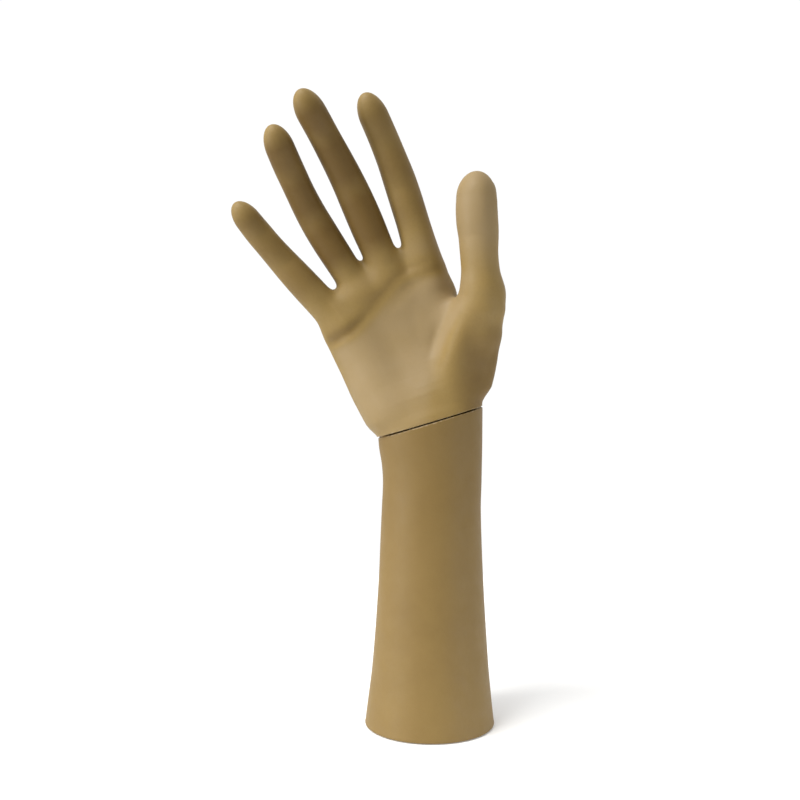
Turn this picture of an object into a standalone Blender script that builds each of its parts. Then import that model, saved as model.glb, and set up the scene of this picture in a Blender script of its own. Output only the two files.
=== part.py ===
"""Hand mannequin: a hollow display hand on a hollow standing forearm.

The hand plugs into the forearm at a slanted wrist cut and can be turned on it.
Frame: metres, +Z up, origin at the centre of the base on the surface it stands
on, palm facing -Y, thumb on the +X side.  Dimensions below are in millimetres
and degrees; MM turns them into metres.
"""

import math

import bmesh
import bpy
from mathutils import Matrix, Vector

MM = 0.001

# ---------------------------------------------------------------- dimensions
GAP = 0.3  # clearance between two pieces that rest on each other
WALL = 3.0  # forearm shell thickness

# Forearm: height, centre offset along X, half width (X), half depth (Y).
FOREARM = (
    (0.0, 0.0, 36.0, 36.0),
    (12.0, 0.1, 34.6, 34.4),
    (30.0, 0.4, 32.6, 31.9),
    (48.0, 0.6, 31.2, 29.8),
    (66.0, 0.7, 30.0, 28.0),
    (84.0, 0.8, 29.0, 26.3),
    (102.0, 0.8, 28.3, 24.8),
    (120.0, 1.0, 27.7, 23.4),
    (134.0, 1.5, 27.6, 22.3),
    (144.0, 1.3, 28.0, 22.2),
    (154.0, 0.6, 28.9, 22.7),
    (166.0, 0.3, 29.3, 23.5),
    (182.0, 0.3, 29.4, 24.2),
)

# Wrist cut: a plane through this point, rising towards the thumb side.
WRIST_CENTRE = (0.3, 0.0, 167.5)
WRIST_SLOPE = 16.6
SEAM = 0.6  # visible gap between the two shells

# Palm, along its own axis: distance, half width, half thickness on the palm
# side and on the back, depth offset.
PALM_LEAN = 20.4
PALM = (
    (-16.0, 30.2, 23.2, 23.2, 0.0),
    (0.0, 30.2, 23.2, 23.2, 0.0),
    (7.0, 32.4, 21.8, 21.8, 0.4),
    (14.0, 34.2, 20.6, 20.2, 0.9),
    (28.0, 35.8, 17.0, 17.6, 2.8),
    (42.0, 36.9, 14.0, 15.8, 4.2),
    (56.0, 38.0, 12.6, 14.2, 4.4),
    (68.0, 38.0, 12.2, 12.6, 3.6),
    (76.0, 35.0, 11.2, 11.2, 3.0),
)

# Thenar (thumb) mound: x, y, z, half width, half thickness.
THENAR = (
    (10.5, -2.0, 160.0, 14.0, 11.0),
    (15.6, -3.0, 180.0, 16.6, 11.6),
    (19.8, -5.2, 199.0, 17.6, 11.4),
    (23.4, -8.2, 216.0, 15.6, 11.2),
    (25.6, -10.8, 227.0, 12.4, 10.6),
    (28.2, -13.2, 238.0, 8.8, 9.0),
)
THENAR_AWAY = (-0.42, 0.91, 0.0)  # its back; the mound slopes back towards the thumb's side
# Heel pad on the little-finger side.
HEEL = (
    (-15.0, -1.5, 158.0, 12.0, 13.5),
    (-20.0, -2.0, 172.0, 12.8, 14.5),
    (-26.0, -1.0, 186.0, 13.4, 14.0),
    (-34.0, 1.0, 203.0, 12.8, 12.5),
    (-44.0, 2.5, 219.0, 11.4, 10.6),
)

# Fingers: root joint, then for each phalanx its length, sideways lean from the
# vertical and forward curl, then half widths at even steps from root to tip,
# half thickness as a share of the half width (palm side at root and tip, back
# at root and tip), length of the rounded end, and length sunk below the root.
FINGERS = {
    "index": dict(
        root=(-1.6, 2.5, 254.3),
        length=(46.4, 26.2, 28.3),
        lean=(17.6, 21.8, 26.4),
        curl=(9.0, 17.0, 25.0),
        girth=(10.6, 9.8, 9.3, 9.3, 9.1, 8.5, 8.2, 8.1, 7.8),
        flat=(1.02, 0.94, 1.02, 0.82),
        tip=14.5,
    ),
    "middle": dict(
        root=(-23.2, 3.0, 250.5),
        length=(51.9, 33.6, 26.2),
        lean=(23.7, 28.8, 31.8),
        curl=(14.0, 26.0, 36.0),
        girth=(9.6, 9.2, 9.7, 9.6, 9.1, 8.6, 8.2, 8.2, 7.8),
        flat=(1.02, 0.94, 1.02, 0.82),
        tip=14.5,
    ),
    "ring": dict(
        root=(-40.5, 3.0, 243.1),
        length=(44.5, 28.8, 27.8),
        lean=(32.5, 26.6, 22.9),
        curl=(13.0, 25.0, 34.0),
        girth=(9.2, 8.6, 8.8, 8.8, 8.4, 8.0, 8.0, 7.9, 7.5),
        flat=(1.04, 0.94, 1.04, 0.82),
        tip=14.0,
    ),
    "little": dict(
        root=(-55.3, 1.0, 228.9),
        length=(36.9, 21.5, 21.5),
        lean=(42.9, 41.1, 38.3),
        curl=(9.0, 17.0, 24.0),
        girth=(9.4, 8.8, 8.7, 8.4, 7.9, 7.5, 7.4, 7.1, 6.5),
        flat=(1.04, 0.95, 1.04, 0.84),
        tip=12.5,
    ),
    "thumb": dict(
        root=(29.6, -14.0, 230.3),
        length=(39.1, 17.1, 17.6),
        lean=(5.6, 2.2, 1.8),
        curl=(5.0, 4.0, 2.0),
        girth=(10.4, 10.7, 10.4, 10.3, 10.8, 11.5, 11.4, 10.5, 9.4),
        flat=(1.0, 0.90, 1.0, 0.80),
        tip=14.5,
        below=9.0,
        taper=0.4,
    ),
}
THUMB_AWAY = (0.62, 0.78, 0.0)  # the thumb's back, where its nail would be, is turned outwards
# Webs between the fingers, then the thumb's: two ends of the core, half height, half thickness.
WEBS = (
    ((-8.0, 2.5, 259.6), (-22.0, 3.0, 257.8), 7.4, 8.0),
    ((-30.0, 3.0, 252.0), (-43.0, 3.0, 247.5), 8.8, 8.0),
    ((-46.0, 2.5, 236.0), (-56.5, 1.5, 228.2), 8.0, 8.0),
    ((0.0, 0.0, 223.5), (27.0, -11.0, 225.5), 11.5, 7.5),
)

# Wrist fitting, measured along the swivel axis from the wrist cut (up is +).
BOARD_T = 12.0
SEAT_HALF = (26.0, 17.3)  # opening in the hand for its board
FLANGE_R, FLANGE_T = 16.8, 2.0
SOCKET_IN_R, SOCKET_OUT_R, SOCKET_END = 9.3, 10.6, -46.0
SOCKET_TOP = -2.3
PLUG_R, PLUG_END, COLLAR_R = 9.0, -30.0, 12.5
COLLAR = (-2.0, -0.2)
BOLT_R, BOLT_END, HEX_AF, HEAD_T = 4.0, -40.5, 13.0, 5.3
HAND_FLANGE = (1.4, 3.4)
SCREW_CIRCLE = 13.7
SCREW_R, SCREW_HEAD_R, SCREW_L = 1.75, 2.7, 11.5

# Base
BASE_T = 9.0
RING_T, RING_HOLE_R = 12.0, 20.0
BASE_SCREW_CIRCLE = 25.5
BASE_SCREW_R, BASE_HEAD_R, BASE_SCREW_L = 1.9, 3.6, 18.0
BALLAST_R, BALLAST_H, BALLAST_BORE = 19.0, 40.0, 3.6

# -------------------------------------------------------------- scene, looks
for old in list(bpy.data.objects):
    bpy.data.objects.remove(old, do_unlink=True)


def material(name, colour, roughness, metallic=0.0):
    made = bpy.data.materials.new(name)
    made.use_nodes = True
    shader = made.node_tree.nodes["Principled BSDF"]
    shader.inputs["Base Color"].default_value = (*colour, 1.0)
    shader.inputs["Roughness"].default_value = roughness
    shader.inputs["Metallic"].default_value = metallic
    return made


SKIN = material("skin_paint", (0.26, 0.165, 0.045), 0.56)
WOOD = material("plywood", (0.56, 0.40, 0.23), 0.75)
ZINC = material("zinc_steel", (0.62, 0.63, 0.65), 0.35, 1.0)
NYLON = material("nylon", (0.80, 0.78, 0.70), 0.45)
RUBBER = material("rubber", (0.03, 0.03, 0.03), 0.8)
FIBRE = material("red_fibre", (0.30, 0.08, 0.05), 0.8)
IRON = material("cast_iron", (0.12, 0.12, 0.13), 0.7, 0.6)


# ------------------------------------------------------------------- helpers
def new_object(name, bm, mat, parent=None, smooth_angle=35.0):
    bmesh.ops.recalc_face_normals(bm, faces=bm.faces)
    mesh = bpy.data.meshes.new(name)
    bm.to_mesh(mesh)
    bm.free()
    mesh.shade_smooth()
    mesh.set_sharp_from_angle(angle=math.radians(smooth_angle))
    if mat:
        mesh.materials.append(mat)
    return link(name, mesh, parent)


def link(name, mesh, parent=None):
    obj = bpy.data.objects.new(name, mesh)
    bpy.context.scene.collection.objects.link(obj)
    obj.parent = parent
    return obj


def helper(obj):
    """A cutter or a guide: kept out of renders, drawn as wire."""
    obj.hide_render = True
    obj.display_type = "WIRE"
    return obj


def loft(bm, rings, closed=False):
    """Skins rings of points; the ends are capped, or joined if closed."""
    made = [[bm.verts.new([c * MM for c in p]) for p in ring] for ring in rings]
    count = len(made[0])
    pairs = list(zip(made, made[1:]))
    if closed:
        pairs.append((made[-1], made[0]))
    for low, high in pairs:
        for i in range(count):
            j = (i + 1) % count
            bm.faces.new((low[i], low[j], high[j], high[i]))
    if not closed:
        bm.faces.new(list(reversed(made[0])))
        bm.faces.new(made[-1])
    return made


def lathe(profile, steps, closed=True):
    """Turns (radius, height) points about Z. An open profile starts and ends on the axis."""
    bm = bmesh.new()

    def ring(radius, height):
        return [
            (
                radius * math.cos(2 * math.pi * i / steps),
                radius * math.sin(2 * math.pi * i / steps),
                height,
            )
            for i in range(steps)
        ]

    if closed:
        loft(bm, [ring(r, h) for r, h in profile], closed=True)
        return bm
    body = loft_open(bm, [ring(r, h) for r, h in profile[1:-1]])
    for (radius, height), edge in ((profile[0], body[0]), (profile[-1], body[-1])):
        pole = bm.verts.new((0, 0, height * MM))
        for i in range(steps):
            bm.faces.new((edge[i], edge[(i + 1) % steps], pole))
    return bm


def loft_open(bm, rings):
    made = [[bm.verts.new([c * MM for c in p]) for p in ring] for ring in rings]
    count = len(made[0])
    for low, high in zip(made, made[1:]):
        for i in range(count):
            j = (i + 1) % count
            bm.faces.new((low[i], low[j], high[j], high[i]))
    return made


def round_ring(radius, height, steps=24):
    return [
        (radius * math.cos(2 * math.pi * i / steps), radius * math.sin(2 * math.pi * i / steps), height)
        for i in range(steps)
    ]


def cut(obj, *cutters):
    for cutter in cutters:
        step = obj.modifiers.new("cut_" + cutter.name, "BOOLEAN")
        step.operation = "DIFFERENCE"
        step.solver = "EXACT"
        step.object = cutter


def smooth_value(table, t, column):
    """Catmull-Rom value of a column of a table whose first column is the place."""
    last = len(table) - 1
    t = min(max(t, table[0][0]), table[-1][0])
    i = next(k for k in range(last) if t <= table[k + 1][0])
    a, b = table[i], table[i + 1]
    before, after = table[max(i - 1, 0)], table[min(i + 2, last)]
    span = b[0] - a[0]
    u = (t - a[0]) / span
    ma = (b[column] - before[column]) / (b[0] - before[0]) * span
    mb = (after[column] - a[column]) / (after[0] - a[0]) * span
    return (
        (2 * u**3 - 3 * u**2 + 1) * a[column]
        + (u**3 - 2 * u**2 + u) * ma
        + (-2 * u**3 + 3 * u**2) * b[column]
        + (u**3 - u**2) * mb
    )


# ------------------------------------------------------- the forearm's shape
SLOPE = math.tan(math.radians(WRIST_SLOPE))
COS_SLOPE = math.cos(math.radians(WRIST_SLOPE))
SIN_SLOPE = math.sin(math.radians(WRIST_SLOPE))


def forearm_point(angle, height, inset):
    centre = smooth_value(FOREARM, height, 1)
    width = smooth_value(FOREARM, height, 2) - inset
    depth = smooth_value(FOREARM, height, 3) - inset
    return centre + width * math.cos(angle), depth * math.sin(angle)


def cut_height(x):
    return WRIST_CENTRE[2] + (x - WRIST_CENTRE[0]) * SLOPE


def level_ring(height, inset, steps):
    points = []
    for i in range(steps):
        x, y = forearm_point(2 * math.pi * i / steps, height, inset)
        points.append((x, y, height))
    return points


def slant_ring(share, below, inset, steps):
    """Ring at a share of the way up to a plane lying below the wrist cut."""
    points = []
    for i in range(steps):
        angle = 2 * math.pi * i / steps
        z = share * WRIST_CENTRE[2]
        for _ in range(12):
            x, y = forearm_point(angle, z, inset)
            z = share * (cut_height(x) - below / COS_SLOPE)
        points.append((x, y, z))
    return points


# Two empties carry the moving pieces: both sit on the swivel axis, with local
# Z along it, so the fitting below is drawn about its own axis.
wrist = bpy.data.objects.new("swivel_axis", None)
bpy.context.scene.collection.objects.link(wrist)
wrist.location = Vector(WRIST_CENTRE) * MM
wrist.rotation_euler = (0, -math.radians(WRIST_SLOPE), 0)
TO_WRIST = (
    Matrix.Translation(Vector(WRIST_CENTRE) * MM)
    @ Matrix.Rotation(-math.radians(WRIST_SLOPE), 4, "Y")
).inverted()

# ------------------------------------------------------------- forearm shell
STEPS = 40
shares = (0.0, 0.07, 0.18, 0.34, 0.52, 0.70, 0.80, 0.87, 0.94, 1.0)
bm = bmesh.new()
outer = [slant_ring(s, 0.0, 0.0, STEPS) for s in shares]
inner = [slant_ring(s, 0.0, WALL, STEPS) for s in reversed(shares)]
loft(bm, outer + inner, closed=True)
forearm_shell = new_object("forearm_shell", bm, SKIN)


# ------------------------------------------------------------------- screws
def screw_profile(radius, head_r, length, grow=0.0):
    """Countersunk wood screw, head face at height 0, point downwards."""
    head_h = head_r - radius
    return [
        (0.0, grow),
        (head_r + grow, grow),
        (head_r + grow, -0.3),
        (radius + grow, -0.3 - head_h),
        (radius + grow, -(length - 2.4)),
        (0.35, -length - grow),
        (0.0, -length - grow),
    ]


def screw_mesh(name, radius, head_r, length, steps=16):
    """One screw with a four-lobed recess in its head."""
    deep, recess = head_r * 0.42, head_r * 0.55

    def lobed(size, height):
        points = []
        for i in range(steps):
            a = 2 * math.pi * i / steps
            r = size * (0.68 + 0.32 * math.cos(4 * a))
            points.append((r * math.cos(a), r * math.sin(a), height))
        return points

    bm = bmesh.new()
    rounds = screw_profile(radius, head_r, length)[1:-1]
    loft(
        bm,
        [lobed(recess * 0.7, -deep), lobed(recess, 0.0), *(round_ring(r, h, steps) for r, h in rounds)],
    )
    obj = new_object(name, bm, ZINC)
    mesh = obj.data
    bpy.data.objects.remove(obj, do_unlink=True)
    return mesh


def screws(name, mesh, circle, height, parent, upside_down=False, start=90.0):
    for k in range(3):
        a = math.radians(start + 120.0 * k)
        obj = link(f"{name}_{k + 1}", mesh, parent)
        obj.location = (circle * math.cos(a) * MM, circle * math.sin(a) * MM, height * MM)
        if upside_down:
            obj.rotation_euler = (math.pi, 0, 0)


def screw_cutters(name, radius, head_r, length, circle, height, parent, upside_down=False, start=90.0):
    made = []
    for k in range(3):
        a = math.radians(start + 120.0 * k)
        bm = lathe(screw_profile(radius, head_r, length, GAP), 12, closed=False)
        obj = helper(new_object(f"{name}_{k + 1}", bm, None, parent))
        obj.location = (circle * math.cos(a) * MM, circle * math.sin(a) * MM, height * MM)
        if upside_down:
            obj.rotation_euler = (math.pi, 0, 0)
        made.append(obj)
    return made


wrist_screw = screw_mesh("wrist_screw", SCREW_R, SCREW_HEAD_R, SCREW_L)
base_screw = screw_mesh("floor_screw", BASE_SCREW_R, BASE_HEAD_R, BASE_SCREW_L)

# --------------------------------------------------------------------- base
FIT = WALL + GAP
bm = bmesh.new()
loft(bm, [level_ring(0.0, FIT, STEPS), level_ring(BASE_T, FIT, STEPS)])
base_plate = new_object("base_plate", bm, WOOD)

low, high = BASE_T + GAP, BASE_T + GAP + RING_T
bm = bmesh.new()
hole = [
    [
        (RING_HOLE_R * math.cos(2 * math.pi * i / STEPS), RING_HOLE_R * math.sin(2 * math.pi * i / STEPS), z)
        for i in range(STEPS)
    ]
    for z in (high, low)
]
loft(bm, [level_ring(low, FIT, STEPS), level_ring(high, FIT, STEPS), *hole], closed=True)
base_ring = new_object("base_ring", bm, WOOD)

# The base screws enter from below, heads just inside the standing face.
screws("base_screw", base_screw, BASE_SCREW_CIRCLE, 0.2, None, upside_down=True)
holes = screw_cutters(
    "base_hole", BASE_SCREW_R, BASE_HEAD_R, BASE_SCREW_L, BASE_SCREW_CIRCLE, 0.2, None, upside_down=True
)
for drill in holes:  # run the countersinks out through the standing face
    for v in drill.data.vertices:
        if v.co.z > 0:
            v.co.z += 1.0 * MM
cut(base_plate, *holes)
cut(base_ring, *holes)

# Ballast: an iron slug on the base plate, held by one coach screw and washer.
bottom = BASE_T + GAP
top = bottom + BALLAST_H
new_object(
    "ballast_weight",
    lathe(
        [
            (BALLAST_BORE, bottom),
            (BALLAST_R - 1.0, bottom),
            (BALLAST_R, bottom + 1.0),
            (BALLAST_R, top - 1.5),
            (BALLAST_R - 1.5, top),
            (BALLAST_BORE, top),
        ],
        32,
    ),
    IRON,
)
new_object(
    "ballast_washer",
    lathe([(3.6, top + GAP), (9.0, top + GAP), (9.0, top + GAP + 1.6), (3.6, top + GAP + 1.6)], 24),
    ZINC,
)


def hex_ring(across_flats, height, steps=24):
    """Hexagon drawn with evenly spread points, so it can join a round ring."""
    points = []
    for i in range(steps):
        a = 2 * math.pi * i / steps
        off = (a + math.pi / 6) % (math.pi / 3) - math.pi / 6
        r = across_flats / 2 / math.cos(off)
        points.append((r * math.cos(a), r * math.sin(a), height))
    return points


seat = top + 2 * GAP + 1.6
bm = bmesh.new()
loft(
    bm,
    [
        hex_ring(9.0, seat + 4.2),
        hex_ring(10.0, seat + 3.7),
        hex_ring(10.0, seat),
        round_ring(3.0, seat),
        round_ring(3.0, 5.5),
        round_ring(0.6, 2.8),
    ],
)
new_object("ballast_screw", bm, ZINC)
bm = lathe([(0.0, BASE_T + 5.0), (3.0 + GAP, BASE_T + 5.0), (3.0 + GAP, 5.3), (0.9, 2.4), (0.0, 2.4)], 24, closed=False)
cut(base_plate, helper(new_object("ballast_pilot", bm, None)))

# ---------------------------------------------------- wrist, forearm's side
board_top = SOCKET_TOP - FLANGE_T - GAP
bm = bmesh.new()
loft(
    bm,
    [
        slant_ring(1.0, -(board_top - BOARD_T), FIT, STEPS),
        slant_ring(1.0, -(board_top - BOARD_T / 2), FIT, STEPS),
        slant_ring(1.0, -board_top, FIT, STEPS),
    ],
)
forearm_board = new_object("forearm_wrist_board", bm, WOOD)
bm = lathe(
    [(0.0, 5.0), (SOCKET_OUT_R + GAP, 5.0), (SOCKET_OUT_R + GAP, -30.0), (0.0, -30.0)], 36, closed=False
)
cut(forearm_board, helper(new_object("socket_hole", bm, None, wrist)))

wrist_socket = new_object(
    "wrist_socket",
    lathe(
        [
            (SOCKET_IN_R, SOCKET_END),
            (SOCKET_OUT_R, SOCKET_END),
            (SOCKET_OUT_R, SOCKET_TOP - FLANGE_T),
            (FLANGE_R, SOCKET_TOP - FLANGE_T),
            (FLANGE_R, SOCKET_TOP - 0.4),
            (FLANGE_R - 0.4, SOCKET_TOP),
            (SOCKET_IN_R, SOCKET_TOP),
        ],
        36,
    ),
    ZINC,
    wrist,
)
screws("socket_screw", wrist_screw, SCREW_CIRCLE, SOCKET_TOP, wrist)
holes = screw_cutters("socket_drill", SCREW_R, SCREW_HEAD_R, SCREW_L, SCREW_CIRCLE, SOCKET_TOP, wrist)
cut(wrist_socket, *holes)
cut(forearm_board, *holes)

# --------------------------------------------- swivel plug and its friction
groove = -19.0
new_object(
    "swivel_plug",
    lathe(
        [
            (BOLT_R + GAP, PLUG_END),
            (PLUG_R - 1.2, PLUG_END),
            (PLUG_R, PLUG_END + 1.6),
            (PLUG_R, groove - 1.5),
            (PLUG_R - 1.9, groove - 1.5),
            (PLUG_R - 1.9, groove + 1.5),
            (PLUG_R, groove + 1.5),
            (PLUG_R, COLLAR[0]),
            (COLLAR_R, COLLAR[0]),
            (COLLAR_R, COLLAR[1] - 0.4),
            (COLLAR_R - 0.4, COLLAR[1]),
            (BOLT_R + GAP, COLLAR[1]),
        ],
        36,
    ),
    NYLON,
    wrist,
)
new_object(
    "plug_o_ring",
    lathe(
        [
            (8.25 + 0.88 * math.cos(2 * math.pi * k / 8), groove + 0.88 * math.sin(2 * math.pi * k / 8))
            for k in range(8)
        ],
        32,
    ),
    RUBBER,
    wrist,
)
new_object(
    "friction_washer", lathe([(4.7, 0.1), (12.0, 0.1), (12.0, 1.1), (4.7, 1.1)], 32), FIBRE, wrist
)

# ------------------------------------------------------- wrist, hand's side
hand_flange = new_object(
    "hand_flange",
    lathe(
        [
            (BOLT_R + GAP, HAND_FLANGE[0]),
            (FLANGE_R - 0.4, HAND_FLANGE[0]),
            (FLANGE_R, HAND_FLANGE[0] + 0.4),
            (FLANGE_R, HAND_FLANGE[1]),
            (BOLT_R + GAP, HAND_FLANGE[1]),
        ],
        36,
    ),
    ZINC,
    wrist,
)
screws("hand_screw", wrist_screw, SCREW_CIRCLE, HAND_FLANGE[0], wrist, upside_down=True, start=30.0)
holes = screw_cutters(
    "hand_drill", SCREW_R, SCREW_HEAD_R, SCREW_L, SCREW_CIRCLE, HAND_FLANGE[0], wrist, upside_down=True, start=30.0
)
cut(hand_flange, *holes)

floor = HAND_FLANGE[1] + GAP
bm = bmesh.new()
loft(
    bm,
    [
        [
            (
                (SEAT_HALF[0] - GAP) * math.cos(2 * math.pi * i / STEPS),
                (SEAT_HALF[1] - GAP) * math.sin(2 * math.pi * i / STEPS),
                h,
            )
            for i in range(STEPS)
        ]
        for h in (floor, floor + BOARD_T)
    ],
)
hand_board = new_object("hand_wrist_board", bm, WOOD, wrist)
bm = lathe([(0.0, floor + HEAD_T + GAP), (8.0, floor + HEAD_T + GAP), (8.0, floor - 2.0), (0.0, floor - 2.0)], 24, closed=False)
cut(hand_board, helper(new_object("bolt_pocket", bm, None, wrist)), *holes)

bm = bmesh.new()
loft(
    bm,
    [
        hex_ring(HEX_AF - 1.0, floor + HEAD_T),
        hex_ring(HEX_AF, floor + HEAD_T - 0.6),
        hex_ring(HEX_AF, floor),
        round_ring(BOLT_R, floor),
        round_ring(BOLT_R, BOLT_END + 0.8),
        round_ring(BOLT_R - 0.8, BOLT_END),
    ],
)
new_object("pivot_bolt", bm, ZINC, wrist)
spring = PLUG_END - GAP
new_object(
    "spring_washer",
    lathe([(4.3, spring - 1.2), (7.4, spring - 0.8), (7.4, spring), (4.3, spring - 0.4)], 24),
    ZINC,
    wrist,
)
nut = spring - 1.2 - GAP
bm = bmesh.new()
loft(
    bm,
    [
        round_ring(BOLT_R + GAP, nut),
        hex_ring(HEX_AF, nut),
        hex_ring(HEX_AF, nut - 5.2),
        round_ring(6.0, nut - 5.6),
        round_ring(5.6, nut - 7.4),
        round_ring(BOLT_R + GAP, nut - 7.4),
    ],
    closed=True,
)
new_object("lock_nut", bm, ZINC, wrist)

# ----------------------------------------------------------- the hand's shape
SECTION = 18


def direction(lean, curl):
    a, c = math.radians(lean), math.radians(curl)
    return Vector((-math.sin(a) * math.cos(c), -math.sin(c), math.cos(a) * math.cos(c)))


def rounded(stations, end):
    """Adds shrinking stations past one end, so that the end is a dome and not a flat."""
    (centre, wide, front, back), near = stations[end], stations[1 if end == 0 else -2][0]
    out = (centre - near).normalized() * min(wide, (front + back) / 2)
    dome = [
        (centre + out * math.sin(a), wide * math.cos(a), front * math.cos(a), back * math.cos(a))
        for a in (0.5, 0.95, 1.3)
    ]
    return dome[::-1] + stations if end == 0 else stations + dome


def tube(bm, stations, away=(0.0, 1.0, 0.0)):
    """Skins oval sections along (centre, half width, front and back half thickness) stations."""
    rings = []
    last = len(stations) - 1
    behind = Vector(away).normalized()
    for k, (centre, wide, front, rear) in enumerate(stations):
        along = stations[min(k + 1, last)][0] - stations[max(k - 1, 0)][0]
        along.normalize()
        back = (behind - along * along.dot(behind)).normalized()
        side = back.cross(along)
        ring = []
        for i in range(SECTION):
            a = 2 * math.pi * i / SECTION
            thick = rear if math.sin(a) > 0 else front
            ring.append(centre + side * (wide * math.cos(a)) + back * (thick * math.sin(a)))
        rings.append(ring)
    loft(bm, rings)


def finger_stations(root, length, lean, curl, girth, flat, tip, below=14.0, taper=0.0, count=20):
    joints = [Vector(root)]
    for size, a, c in zip(length, lean, curl):
        joints.append(joints[-1] + direction(a, c) * size)
    total = sum(length)
    places = [0.0]
    for size in length:
        places.append(places[-1] + size)
    start = joints[0] - direction(lean[0], curl[0]) * below
    table = [(-below, *start)] + [(p, *j) for p, j in zip(places, joints)]
    widths = [(total * k / (len(girth) - 1), g) for k, g in enumerate(girth)]
    made = []
    for k in range(count):
        s = (total + below) * (1 - (1 - k / (count - 1)) ** 1.25) - below
        centre = Vector([smooth_value(table, s, n) for n in (1, 2, 3)])
        cap = max(0.0, s - (total - tip)) / tip
        wide = smooth_value(widths, s, 1) * math.sqrt(max(0.004, 1 - cap**2.2))
        wide *= 1 - taper * max(0.0, -s / below)
        share = max(0.0, s) / total
        front = wide * (flat[0] + (flat[1] - flat[0]) * share)
        back = wide * (flat[2] + (flat[3] - flat[2]) * share)
        made.append((centre, wide, front, back))
    return made


def palm_station(t, wide, front, back, offset):
    lean = WRIST_SLOPE if t < 0 else WRIST_SLOPE + (PALM_LEAN - WRIST_SLOPE) * min(1.0, t / 30.0)
    centre = Vector(WRIST_CENTRE) + direction(lean, 0.0) * t + Vector((0, offset, 0))
    return centre, wide, front, back


def mound(rows):
    return rounded([(Vector(row[:3]), row[3], row[4], row[4]) for row in rows], -1)


bm = bmesh.new()
tube(bm, rounded([palm_station(*row) for row in PALM], -1))
tube(bm, mound(THENAR), THENAR_AWAY)
tube(bm, mound(HEEL))
for name, finger in FINGERS.items():
    tube(bm, rounded(finger_stations(**finger), 0), THUMB_AWAY if name == "thumb" else (0.0, 1.0, 0.0))
for start, end, high, thick in WEBS:
    a, b = Vector(start), Vector(end)
    core = [(p, high, thick, thick) for p in (a, (a + b) / 2, b)]
    tube(bm, rounded(rounded(core, 0), -1))
cage = helper(new_object("hand_cage", bm, SKIN))
join = cage.modifiers.new("join", "REMESH")
join.mode = "VOXEL"
join.voxel_size = 1.9 * MM
swell = cage.modifiers.new("swell", "DISPLACE")
swell.strength = 0.8 * MM
swell.mid_level = 0.0
soften = cage.modifiers.new("soften", "SMOOTH")
soften.factor = 0.5
soften.iterations = 14
thin = cage.modifiers.new("thin", "DECIMATE")
thin.ratio = 0.15
bpy.context.view_layer.update()
graph = bpy.context.evaluated_depsgraph_get()
skin = bpy.data.meshes.new_from_object(cage.evaluated_get(graph))
skin.name = "hand_shell"
bpy.data.objects.remove(cage, do_unlink=True)

# Into the swivel axis's frame, then cut flat just above the wrist.
skin.transform(TO_WRIST)
bm = bmesh.new()
bm.from_mesh(skin)
bmesh.ops.bisect_plane(
    bm,
    geom=[*bm.verts, *bm.edges, *bm.faces],
    dist=1e-6,
    plane_co=(0, 0, SEAM * MM),
    plane_no=(0, 0, 1),
    clear_inner=True,
)
bmesh.ops.holes_fill(bm, edges=[e for e in bm.edges if e.is_boundary])
bmesh.ops.triangulate(bm, faces=bm.faces)
bmesh.ops.recalc_face_normals(bm, faces=bm.faces)
bm.to_mesh(skin)
bm.free()
skin.shade_smooth()
skin.set_sharp_from_angle(angle=math.radians(50))
hand_shell = link("hand_shell", skin, wrist)

# Hollow: a straight seat for the board, then a tapering space up the palm.
bm = bmesh.new()
ceiling = floor + BOARD_T + GAP
turn = math.radians(PALM_LEAN - WRIST_SLOPE)


def hollow_ring(height, wide, thick, back):
    shift = -math.tan(turn) * max(0.0, height - ceiling)
    return [
        (
            shift + wide * math.cos(2 * math.pi * i / 28),
            back + thick * math.sin(2 * math.pi * i / 28),
            height,
        )
        for i in range(28)
    ]


loft(
    bm,
    [
        hollow_ring(-2.0, *SEAT_HALF, 0.0),
        hollow_ring(ceiling, *SEAT_HALF, 0.0),
        hollow_ring(ceiling + 0.4, 24.5, 13.2, 1.2),
        hollow_ring(30.0, 26.5, 11.8, 2.6),
        hollow_ring(45.0, 27.0, 9.8, 4.2),
        hollow_ring(58.0, 22.0, 7.4, 5.6),
        hollow_ring(64.0, 12.0, 4.2, 6.2),
    ],
)
cut(hand_shell, helper(new_object("hand_hollow", bm, None, wrist)))
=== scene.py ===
"""Looks of the hand mannequin: the painted skin of hand and forearm, the finish of the fitting
inside the wrist and of the base, and a plain studio around them.

Lengths are in millimetres in the tables and become metres when meshes are made.
"""

import math

import bmesh
import bpy
import numpy as np
from mathutils import Matrix, Vector


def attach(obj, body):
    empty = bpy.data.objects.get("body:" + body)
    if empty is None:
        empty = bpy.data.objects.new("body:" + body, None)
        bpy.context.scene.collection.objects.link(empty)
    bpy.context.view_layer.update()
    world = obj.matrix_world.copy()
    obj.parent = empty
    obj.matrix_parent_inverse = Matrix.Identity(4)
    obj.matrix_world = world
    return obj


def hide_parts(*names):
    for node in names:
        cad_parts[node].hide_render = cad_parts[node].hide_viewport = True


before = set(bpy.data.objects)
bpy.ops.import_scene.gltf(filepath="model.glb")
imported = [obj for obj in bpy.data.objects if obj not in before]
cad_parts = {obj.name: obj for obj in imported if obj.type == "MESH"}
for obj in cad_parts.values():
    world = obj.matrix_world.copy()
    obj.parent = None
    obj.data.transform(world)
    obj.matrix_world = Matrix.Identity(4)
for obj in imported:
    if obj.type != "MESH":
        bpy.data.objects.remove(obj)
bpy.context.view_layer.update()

MM = 0.001
FINE = 1.15  # size of the hand's skin mesh

# ------------------------------------------------------------------ camera
scene = bpy.context.scene
view = bpy.data.cameras.new("camera")
view.lens = 43.393
view.sensor_width = 36.0
view.clip_start = 0.01
camera = bpy.data.objects.new("camera", view)
camera.location = (-0.01652, -0.540, 0.180096)
camera.rotation_euler = (math.radians(90), 0, 0)
scene.collection.objects.link(camera)
scene.camera = camera

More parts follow.
